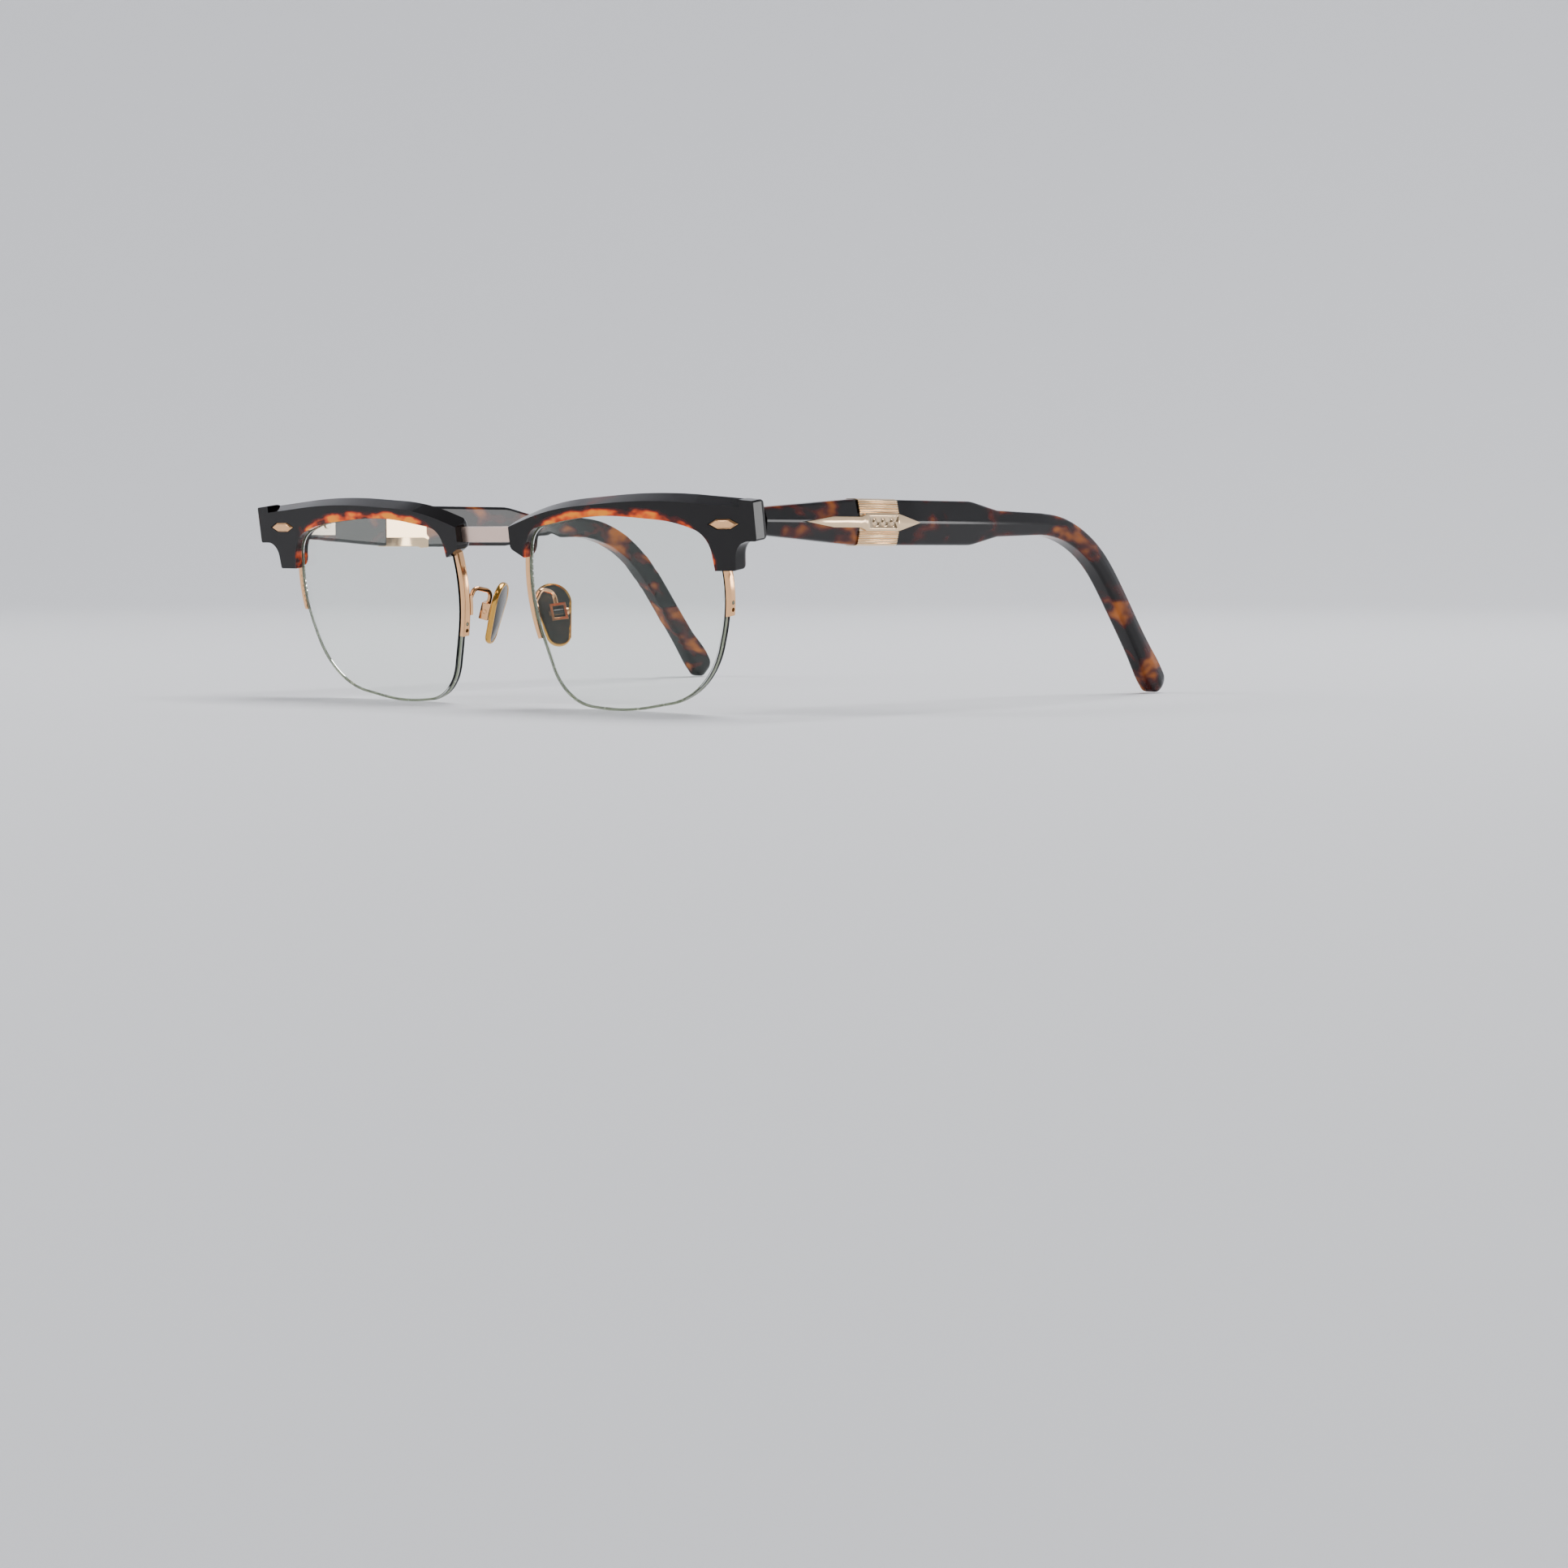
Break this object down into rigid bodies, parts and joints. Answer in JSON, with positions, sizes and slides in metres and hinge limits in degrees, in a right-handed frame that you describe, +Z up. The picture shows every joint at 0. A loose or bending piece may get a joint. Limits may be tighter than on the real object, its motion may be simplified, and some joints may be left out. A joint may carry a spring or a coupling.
{
  "type": "half rim eyeglasses",
  "caption": "Browline half rim eyeglasses: dark brow bars over corded clear lenses in metal half rims, rocking nose pads and folding temples with fluted metal cuffs.",
  "frame": {"origin": "middle of the base, under the middle of the open glasses as they stand on the lens bottoms and the temple tips", "axes": "+X to the wearer's left, +Y back from the lenses towards the ears, +Z up"},
  "size_m": [0.1402, 0.1416, 0.0421],
  "materials": {
    "dark_acetate": "polished dark tortoise",
    "rose_gold": "polished rose gold plate",
    "satin_rose_gold": "satin rose gold plate",
    "pad_gold": "polished gold plate",
    "smoke_pad": "smoke grey, moulded",
    "clear_lens": "clear, coated",
    "nylon": "drawn nylon",
    "screw_steel": "turned",
    "hinge_metal": "plated nickel silver",
    "core_steel": "drawn"
  },
  "bodies": {
    "front": {"bridge": "satin_rose_gold", "brow_left": "dark_acetate", "rim_left": "rose_gold", "lens_left": "clear_lens", "lens_cord_left": "nylon", "rim_liner_left": "nylon", "front_pin_left": "rose_gold", "brow_screws_left": "screw_steel", "pad_arm_left": "pad_gold", "pad_box_left": "pad_gold", "pad_screw_left": "screw_steel", "hinge_front_leaf_left": "hinge_metal", "hinge_screw_left": "screw_steel", "brow_right": "dark_acetate", "rim_right": "rose_gold", "lens_right": "clear_lens", "lens_cord_right": "nylon", "rim_liner_right": "nylon", "front_pin_right": "rose_gold", "brow_screws_right": "screw_steel", "pad_arm_right": "pad_gold", "pad_box_right": "pad_gold", "pad_screw_right": "screw_steel", "hinge_front_leaf_right": "hinge_metal", "hinge_screw_right": "screw_steel"},
    "temple_arm_left": {"temple_left": "dark_acetate", "temple_core_left": "core_steel", "cuff_left": "rose_gold", "plaque_left": "rose_gold", "hinge_temple_leaf_left": "hinge_metal", "hinge_rivets_left": "hinge_metal"},
    "pad_left": {"nose_pad_left": "smoke_pad", "pad_bezel_left": "pad_gold"},
    "temple_arm_right": {"temple_right": "dark_acetate", "temple_core_right": "core_steel", "cuff_right": "rose_gold", "plaque_right": "rose_gold", "hinge_temple_leaf_right": "hinge_metal", "hinge_rivets_right": "hinge_metal"},
    "pad_right": {"nose_pad_right": "smoke_pad", "pad_bezel_right": "pad_gold"}
  },
  "joints": [
    {"name": "temple_left_fold", "type": "hinge", "parent": "front", "child": "temple_arm_left", "pos_m": [0.0632, -0.062, 0.03665], "axis": [0, 0, 1], "range_deg": [0, 90]},
    {"name": "temple_right_fold", "type": "hinge", "parent": "front", "child": "temple_arm_right", "pos_m": [-0.0632, -0.062, 0.03665], "axis": [0, 0, -1], "range_deg": [0, 76]},
    {"name": "pad_left_rock", "type": "hinge", "parent": "front", "child": "pad_left", "pos_m": [0.01059, -0.05915, 0.01902], "axis": [0.4695, 0.8739, 0.1259], "range_deg": [-8, 8]},
    {"name": "pad_right_rock", "type": "hinge", "parent": "front", "child": "pad_right", "pos_m": [-0.01059, -0.05915, 0.01902], "axis": [0.4695, -0.8739, -0.1259], "range_deg": [-8, 8]}
  ]
}
